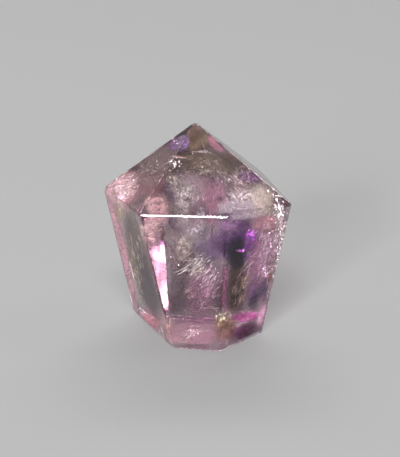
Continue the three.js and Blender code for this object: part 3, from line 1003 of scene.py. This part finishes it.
# Their near-white tints are painted glints, on top of what the cracks mirror.
FLAKES = [
    # Partly painted reflection: white flakes in the pink-white patch at the upper left.
    Cluster("upper_front_left", (122, 187), (17, 14), (1.0, 4), 0.5, 100, (1.0, 0.88, 0.88)),
    Cluster("upper_front_left", (150, 172), (20, 14), (0.8, 2.4), 0.35, 24, (0.8, 0.68, 0.66)),
    Cluster("upper_front", (206, 164), (30, 12), (0.8, 2.4), 0.3, 16, (0.8, 0.70, 0.66)),
    Cluster("upper_front_left", (172, 163), (6, 5), (1, 2.4), 0.6, 16, (1.0, 0.94, 0.96)),
    Cluster("upper_front_left", (176, 140), (7, 3), (1, 2.5), 0.5, 14, (0.95, 0.84, 1.0)),
    Cluster("upper_front_right", (244, 197), (9, 4), (2, 4), 0.55, 34, (1.0, 0.94, 0.96)),
    Cluster("upper_front_right", (276, 200), (7, 9), (1, 3), 0.6, 44, (1.0, 0.94, 0.96)),
    Cluster("upper_front_right", (236, 177), (12, 6), (2, 5), 0.4, 34, (1.0, 0.84, 0.82)),
    Cluster("front_right", (280, 216), (5, 9), (0.8, 2.4), 0.6, 60, (1.0, 0.96, 1.0)),
    Cluster("front_right", (270, 240), (6, 7), (1, 4), 0.55, 34, (1.0, 0.90, 0.98)),
    Cluster("front_right", (266, 272), (5, 7), (1, 4), 0.55, 34, (0.95, 0.88, 1.0)),
    Cluster("front_right", (281, 244), (6, 36), (0.5, 5), 0.55, 110, (1.0, 0.93, 0.93)),
    # Painted glints: bright magenta flakes in the violet core, this one and the next.
    Cluster("front_right", (252, 234), (3.2, 3), (0.5, 1.2), 0.6, 16, (1.0, 0.36, 0.96)),
    Cluster("front_right", (242, 250.5), (5, 1.0), (0.5, 1.2), 0.5, 16, (0.95, 0.32, 1.0)),
    Cluster("front", (192, 333), (8, 4), (1.5, 4), 0.5, 16, (1.0, 0.92, 0.92)),
    Cluster("front", (194, 262), (14, 6), (3, 8), 0.4, 22, (1.0, 0.98, 0.96)),
    Cluster("front", (210, 280), (10, 20), (3, 9), 0.35, 40, (1.0, 0.90, 0.94)),
    Cluster("front", (170, 250), (8, 22), (3, 12), 0.3, 16, (1.0, 1.0, 1.0)),
    Cluster("front_right", (224, 318), (6, 5), (1.5, 3), 0.5, 18, (1.0, 0.92, 0.60)),
    Cluster("front_left", (136, 250), (6, 34), (0.6, 1.5), 0.35, 34, (1.0, 0.96, 0.86)),
]


def loose_flakes(count, seed):
    """Clusters of flakes near the faces that look away from the photograph's camera."""
    rng = np.random.default_rng(seed)
    clusters = []
    for _ in range(count):
        bearing = rng.uniform(85, 275)
        height = rng.uniform(4, 46)
        away = rng.uniform(9, 14) - max(height - 38, 0) * 0.6
        middle = away * toward(bearing) + (0, 0, height)
        spread = rng.uniform(1.5, 4.5, 3)
        # Near-white: painted glints.
        tint = (1.0, rng.uniform(0.8, 0.95), rng.uniform(0.85, 1.0))
        size = rng.uniform(0.2, 0.45)
        clusters.append(LooseCluster(middle, spread, size, number=22, tint=tint))
    return clusters


def loose_veils(count, seed, tints, strengths):
    """Veils through the middle and the back of the stone, where the photograph doesn't reach."""
    rng = np.random.default_rng(seed)
    veils = []
    for k in range(count):
        bearing = rng.uniform(90, 270)
        height = rng.uniform(8, 46)
        away = rng.uniform(5, 12) if height > 27 else rng.uniform(0, 5)
        middle = away * toward(bearing) + (0, 0, height)
        size = rng.uniform(3, 8, 2) * (1.3, 0.8)
        look = bearing + rng.normal(0, 35)
        strength = rng.uniform(*strengths)
        tilt, turn = rng.normal(0, 25), rng.uniform(0, 180)
        tint = tints[k % len(tints)]
        veils.append(LooseSheet(middle, size, look, tilt, turn, bow=0.8, tint=tint, strength=strength))
    return veils


# The kinds of veil: pattern, the veils placed by the photograph, the number, seed, tints and
# range of strength of the loose ones, and contrast.
PALE = ((0.36, 0.29, 0.33), (0.40, 0.27, 0.31), (0.32, 0.28, 0.22), (0.25, 0.14, 0.27))
DARK = ((0.08, 0.045, 0.075), (0.10, 0.07, 0.05))
VEIL_KINDS = {
    "washes_of_colour_and_shade": ("wash", WASHES, (12, 15, PALE, (0.35, 0.6)), 0.4),
    "cloudy_veils": ("cloud", CLOUDS, (16, 11, PALE, (0.6, 1.0)), 0.7),
    "milky_curds": ("curd", CURDS, (0, 14, PALE, (0.6, 1.0)), 0.6),
    "feathery_veils": ("feather", FEATHERS, (14, 12, PALE, (0.6, 1.0)), 0.7),
    "mottled_veils": ("mottle", MOTTLE, (10, 13, DARK, (0.4, 0.7)), 0.7),
}

# The number and seed of the loose clusters of flakes.
LOOSE_FLAKES = (24, 21)


class AMETHYST_OT_veils(bpy.types.Operator):
    """Lay the washes, clouds, curds, feathers and mottled spots of healed cracks, and the sheets of painted
    shade and painted reflection among them
    """

    bl_idname = "amethyst.veils"
    bl_label = "Veils"

    def execute(self, context):
        for k, (name, (pattern, sheets, loose, contrast)) in enumerate(VEIL_KINDS.items()):
            material = veil_material(name.replace("_", " "), pattern, contrast)
            seed = VEIL_SEED + VEIL_SEED_STEP * k
            make_sheets(name, sheets + loose_veils(*loose), material, seed)
        return {"FINISHED"}


class AMETHYST_OT_fibres(bpy.types.Operator):
    """Scatter the hair-thin streaks and the glinting flakes"""

    bl_idname = "amethyst.fibres"
    bl_label = "Streaks and glints"

    def execute(self, context):
        make_kind("hair_streaks", STREAKS, streak_grid, streak_material(), STREAK_SEED)
        flakes = FLAKES + loose_flakes(*LOOSE_FLAKES)
        make_kind("glinting_flakes", flakes, flake_grid, flake_material(), FLAKE_SEED, False)
        return {"FINISHED"}


# Softboxes: bearing from the front (the camera's side) and height above the horizon of
# their middles, width and height, all in degrees as the stone sees them, and radiance.
# Their range and the place that they face are in metres.
SOFTBOX_RANGE = 2.0
SOFTBOX_AIM = (0, 0, 0.025)
SOFTBOXES = {
    "window": (-23, 17.5, 17, 14, 60),
    "pane": (-27.5, 22.6, 5, 4, 300),
    "key": (-8, 50, 30, 14, 55),
    "sill": (-27, 27, 6, 5, 4),
    "rim_right": (142, 22, 10, 10, 12),
    "rim_left": (206, 6, 10, 8, 8),
    "back_fill": (182, 43, 56, 13, 20),
    "side_fill_right": (96, 46, 14, 14, 10),
    "side_fill_left": (256, 41, 12, 12, 12),
}


def looking_back(away):
    """The turn of a lamp or camera that lies in a direction and looks back along it."""
    return (-away).to_track_quat("-Z", "Y").to_euler()


def softbox(name, bearing, height, width, depth, radiance):
    """A soft box that fills a patch of the sky, facing the stone."""
    away = Vector(toward(bearing, height))
    data = bpy.data.lights.new(name, "AREA")
    data.shape = "RECTANGLE"
    data.size = 2 * SOFTBOX_RANGE * math.tan(math.radians(width / 2))
    data.size_y = 2 * SOFTBOX_RANGE * math.tan(math.radians(depth / 2))
    data.energy = radiance * math.pi * data.size * data.size_y
    lamp = placed(name, data)
    lamp.location = Vector(SOFTBOX_AIM) + away * SOFTBOX_RANGE
    lamp.rotation_euler = looking_back(away)


def lay_floor(colour):
    """A matt square, just under the stone."""
    s = Shader("floor")
    matt = {"Base Color": rgba(colour), "Roughness": 0.85, "Specular IOR Level": 0.15}
    corners = ((-1, -1), (1, -1), (1, 1), (-1, 1))
    mesh = bpy.data.meshes.new("floor")
    mesh.from_pydata(
        [(x * FLOOR_HALF, y * FLOOR_HALF, -FLOOR_GAP) for x, y in corners], [], [(0, 1, 2, 3)]
    )
    mesh.materials.append(s.finish(s.principled(matt)))
    placed("floor", mesh)


def set_camera():
    """The photograph's camera, its lens so long that a millimetre has its pixels."""
    camera = bpy.data.cameras.new("camera")
    camera.sensor_width = SENSOR
    camera.lens = CAMERA_RANGE * PIXELS_PER_MM * SENSOR / max(PHOTO_SIZE)
    camera.clip_start, camera.clip_end = CAMERA_CLIP
    eye = placed("camera", camera)
    back = Vector(toward(0, CAMERA_ELEVATION))
    eye.location = Vector(AIM) * MM + back * CAMERA_RANGE * MM
    eye.rotation_euler = looking_back(back)
    bpy.context.scene.camera = eye


class AMETHYST_OT_stage(bpy.types.Operator):
    """Lay the floor, hang the lamps and set the camera"""

    bl_idname = "amethyst.stage"
    bl_label = "Stage"

    def execute(self, context):
        scene = context.scene
        lay_floor(scene.amethyst_stage.floor)
        scene.world = bpy.data.worlds.new("studio")
        scene.world.use_nodes = True
        sky = scene.world.node_tree.nodes["Background"].inputs
        sky["Color"].default_value = WHITE
        sky["Strength"].default_value = STUDIO_LIGHT
        for name, box in SOFTBOXES.items():
            softbox(name, *box)
        scene.view_settings.view_transform = "Standard"
        scene.cycles.transparent_max_bounces = VEIL_BOUNCES
        scene.cycles.max_bounces = CLEAR_BOUNCES
        scene.cycles.transmission_bounces = CLEAR_BOUNCES
        set_camera()
        return {"FINISHED"}


class AMETHYST_PT_panel(bpy.types.Panel):
    """The amethyst point's pieces, in the order they are made"""

    bl_idname = "AMETHYST_PT_panel"
    bl_label = "Amethyst Point"
    bl_space_type = "VIEW_3D"
    bl_region_type = "UI"
    bl_category = "Amethyst"

    def draw(self, context):
        for operator in OPERATORS:
            self.layout.operator(operator.bl_idname)


OPERATORS = (
    AMETHYST_OT_stone,
    AMETHYST_OT_colour_zone,
    AMETHYST_OT_veils,
    AMETHYST_OT_fibres,
    AMETHYST_OT_stage,
)
CLASSES = (StoneSettings, StageSettings, *OPERATORS, AMETHYST_PT_panel)
SETTINGS = {"amethyst_stone": StoneSettings, "amethyst_stage": StageSettings}


def register():
    for cls in CLASSES:
        bpy.utils.register_class(cls)
    for name, cls in SETTINGS.items():
        setattr(bpy.types.Scene, name, bpy.props.PointerProperty(type=cls))


def unregister():
    for name in SETTINGS:
        delattr(bpy.types.Scene, name)
    for cls in reversed(CLASSES):
        bpy.utils.unregister_class(cls)


def main():
    register()
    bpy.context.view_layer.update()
    for operator in OPERATORS:
        group, name = operator.bl_idname.split(".")
        getattr(getattr(bpy.ops, group), name)()


if __name__ == "__main__":
    main()
